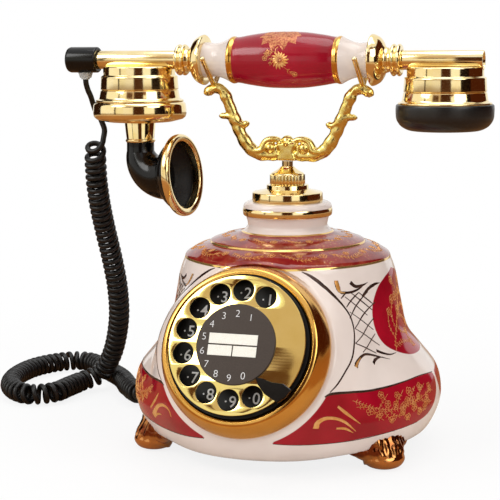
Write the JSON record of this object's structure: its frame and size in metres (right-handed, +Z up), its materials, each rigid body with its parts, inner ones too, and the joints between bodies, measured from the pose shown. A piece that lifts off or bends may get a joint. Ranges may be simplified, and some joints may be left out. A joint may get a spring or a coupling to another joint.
{
  "type": "telephone",
  "caption": "Antique-style rotary telephone: porcelain body on cast feet, tilted dial, cradle on a sprung stem, handset with ear cup, horn mouthpiece and curly cord",
  "frame": {"origin": "on the table, below the middle of the telephone's bounding box without its cord", "axes": "+X along the handset towards the ear cup, -Y out of the dial's side, +Z up"},
  "size_m": [0.3427, 0.2404, 0.2405],
  "materials": {
    "porcelain": "white glaze with crimson panels and gold lustre",
    "handle_porcelain": "crimson glaze with gold bands and white necks",
    "gold_plate": "polished gold plating",
    "black_plastic": "polished black",
    "grey_label": "satin grey with white numerals",
    "card": "ivory card",
    "brass": "plain brass",
    "steel": "zinc-plated steel",
    "coil": "wound coil",
    "board": "green board",
    "capsule": "dark grey capsule",
    "rubber": "black rubber",
    "clear_plastic": "translucent white",
    "cord": "black cord"
  },
  "bodies": {
    "base": {"body_shell": "porcelain", "foot_right": "gold_plate", "foot_back": "gold_plate", "foot_left": "gold_plate", "base_plate": "steel", "base_screws": "steel", "dial_surround": "gold_plate", "dial_case": "black_plastic", "dial_screws": "steel", "number_plate": "black_plastic", "dial_bearing": "brass", "finger_stop": "black_plastic", "neck_plate": "gold_plate", "neck_stud": "brass", "knurled_nut": "gold_plate", "nut_cone": "gold_plate", "hook_spring": "steel", "hook_switch": "brass", "hook_switch_bracket": "steel", "gong_left": "brass", "gong_right": "brass", "gong_posts": "steel", "ringer_coil": "coil", "circuit_board": "board", "cord_grommet": "rubber", "line_grommet": "rubber", "cord_lead": "cord", "cord_curl": "cord", "cord_tail": "cord"},
    "dial": {"finger_wheel": "gold_plate", "dial_spindle": "steel", "dial_label": "grey_label", "name_card": "card"},
    "hook": {"cradle": "gold_plate", "hook_stem": "gold_plate"},
    "clapper": {"clapper": "steel"},
    "handset": {"handle": "handle_porcelain", "tie_pipe": "steel", "flange_left": "gold_plate", "flange_right": "gold_plate", "ferrule_left": "gold_plate", "ferrule_right": "gold_plate", "tube_left": "gold_plate", "tube_right": "gold_plate", "tube_cap": "black_plastic", "cord_gland": "clear_plastic", "ear_cup": "gold_plate", "ear_cap": "black_plastic", "receiver": "steel", "mouth_cup": "gold_plate", "mouth_ring": "gold_plate", "transmitter": "capsule", "horn_collar": "gold_plate", "horn": "black_plastic", "horn_rim": "gold_plate"}
  },
  "joints": [
    {"name": "dial_turn", "type": "hinge", "parent": "base", "child": "dial", "pos_m": [0.00935, -0.08764, 0.0758], "axis": [0, 0.9121, -0.4099], "range_deg": [0, 330], "stiffness_Nm_per_rad": 0.008, "springref_deg": -85.94},
    {"name": "handset_lift", "type": "slide", "parent": "base", "child": "handset", "axis": [0, 0, 1], "range_m": [0, 0.12]},
    {"name": "hook_rise", "type": "slide", "parent": "base", "child": "hook", "axis": [0, 0, 1], "range_m": [0, 0.004], "stiffness_N_per_m": 300, "springref_m": 0.006, "deforming": ["hook_spring"]},
    {"name": "clapper_swing", "type": "hinge", "parent": "base", "child": "clapper", "pos_m": [0.00935, 0.06506, 0.036], "axis": [0, 0, 1], "range_deg": [-2.5, 2.5], "stiffness_Nm_per_rad": 0.002}
  ],
  "couplings": [
    {"joint": "hook_rise", "follows": "handset_lift", "ratio": 0.03333}
  ]
}
